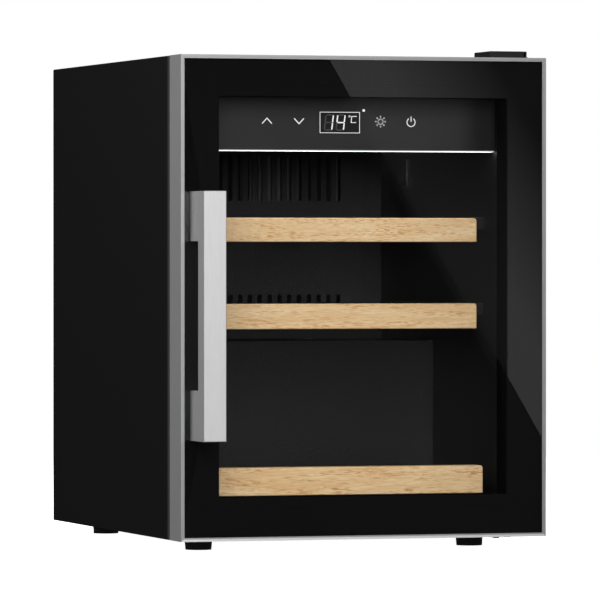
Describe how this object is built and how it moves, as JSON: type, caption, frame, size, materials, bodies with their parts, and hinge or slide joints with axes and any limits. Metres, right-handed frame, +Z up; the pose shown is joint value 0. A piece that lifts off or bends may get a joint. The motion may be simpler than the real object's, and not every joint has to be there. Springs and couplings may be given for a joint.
{
  "type": "wine cooler",
  "caption": "Free-standing countertop wine cooler with a framed glass door, bar handle, wooden-fronted pull-out wire shelves and a touch control panel.",
  "frame": {"origin": "on the floor under the middle of the whole object's box, handle included", "axes": "+Z up, +X to the right as seen from the front, -Y towards the front (the door)"},
  "size_m": [0.385, 0.537, 0.5053],
  "materials": {
    "shell_paint": "satin",
    "back_paint": "matte",
    "liner_black": "matte",
    "foam": "matte",
    "frame_aluminium": "satin",
    "handle_aluminium": "satin",
    "door_glass": "gloss",
    "door_moulding": "gloss",
    "seal_rubber": "matte",
    "fascia_plastic": "satin",
    "display_smoke": "gloss",
    "board_green": "satin",
    "lamp_diffuser": "satin",
    "shelf_wood": "satin",
    "wire_coating": "satin",
    "fitting_plastic": "satin",
    "foot_rubber": "matte",
    "hinge_steel": "satin",
    "screw_steel": "satin",
    "zinc_steel": "satin",
    "fin_aluminium": "satin",
    "copper": "satin",
    "compressor_paint": "satin",
    "mount_rubber": "matte",
    "white_plastic": "satin"
  },
  "bodies": {
    "cabinet": {"outer_shell": "shell_paint", "base_pan": "back_paint", "inner_liner": "liner_black", "condenser_coil": "copper", "insulation_foam": "foam", "back_panel": "back_paint", "rear_grille": "back_paint", "cabinet_screws": "screw_steel", "mains_inlet": "fitting_plastic", "foot_nuts": "zinc_steel", "rear_feet": "foot_rubber", "control_fascia": "fascia_plastic", "display_window": "display_smoke", "display_board": "board_green", "led_strip": "white_plastic", "led_diffuser": "lamp_diffuser", "air_duct_cover": "liner_black", "evaporator": "fin_aluminium", "fan_housing": "fitting_plastic", "temperature_sensor": "fitting_plastic", "compressor": "compressor_paint", "compressor_plate": "zinc_steel", "compressor_grommets": "mount_rubber", "terminal_cover": "fitting_plastic", "evaporation_tray": "fitting_plastic", "drain_tube": "white_plastic", "filter_drier": "copper", "power_box": "fitting_plastic", "refrigerant_pipes": "copper", "hinge_bracket_top": "hinge_steel", "hinge_bracket_bottom": "hinge_steel", "hinge_cap": "fitting_plastic", "shelf_rails": "fitting_plastic", "liner_step": "liner_black"},
    "door": {"door_stile_left": "frame_aluminium", "door_stile_right": "frame_aluminium", "door_rail_top": "frame_aluminium", "door_rail_bottom": "frame_aluminium", "outer_glass": "door_glass", "glass_spacer": "door_moulding", "inner_glass": "door_glass", "door_inner_frame": "door_moulding", "door_gasket": "seal_rubber", "handle_bar": "handle_aluminium", "handle_posts": "handle_aluminium", "handle_screws": "screw_steel", "corner_keys": "fitting_plastic", "hinge_bushes": "white_plastic"},
    "top_shelf": {"top_shelf_front": "shelf_wood", "top_shelf_wires": "wire_coating", "top_shelf_screws": "screw_steel"},
    "middle_shelf": {"middle_shelf_front": "shelf_wood", "middle_shelf_wires": "wire_coating", "middle_shelf_screws": "screw_steel"},
    "bottom_shelf": {"bottom_shelf_front": "shelf_wood", "bottom_shelf_wires": "wire_coating", "bottom_shelf_screws": "screw_steel"},
    "fan_rotor": {"fan_rotor": "fitting_plastic"},
    "front_foot_left": {"front_foot_left": "foot_rubber"},
    "front_foot_right": {"front_foot_right": "foot_rubber"}
  },
  "joints": [
    {"name": "door_hinge", "type": "hinge", "parent": "cabinet", "child": "door", "pos_m": [0.1805, -0.2015, 0], "axis": [0, 0, 1], "range_deg": [0, 110]},
    {"name": "top_shelf_slide", "type": "slide", "parent": "cabinet", "child": "top_shelf", "axis": [0, -1, 0], "range_m": [0, 0.106]},
    {"name": "middle_shelf_slide", "type": "slide", "parent": "cabinet", "child": "middle_shelf", "axis": [0, -1, 0], "range_m": [0, 0.106]},
    {"name": "bottom_shelf_slide", "type": "slide", "parent": "cabinet", "child": "bottom_shelf", "axis": [0, -1, 0], "range_m": [0, 0.087]},
    {"name": "fan_spin", "type": "hinge", "parent": "cabinet", "child": "fan_rotor", "pos_m": [0, 0.1885, 0.303], "axis": [0, 1, 0], "continuous": true},
    {"name": "front_foot_left_turn", "type": "hinge", "parent": "cabinet", "child": "front_foot_left", "pos_m": [-0.145, -0.1215, 0], "axis": [0, 0, 1], "continuous": true},
    {"name": "front_foot_right_turn", "type": "hinge", "parent": "cabinet", "child": "front_foot_right", "pos_m": [0.145, -0.1215, 0], "axis": [0, 0, 1], "continuous": true}
  ],
  "couplings": [
    {"joint": "top_shelf_slide", "follows": "door_hinge", "m_per_rad": 0.055},
    {"joint": "middle_shelf_slide", "follows": "door_hinge", "m_per_rad": 0.055},
    {"joint": "bottom_shelf_slide", "follows": "door_hinge", "m_per_rad": 0.045}
  ]
}
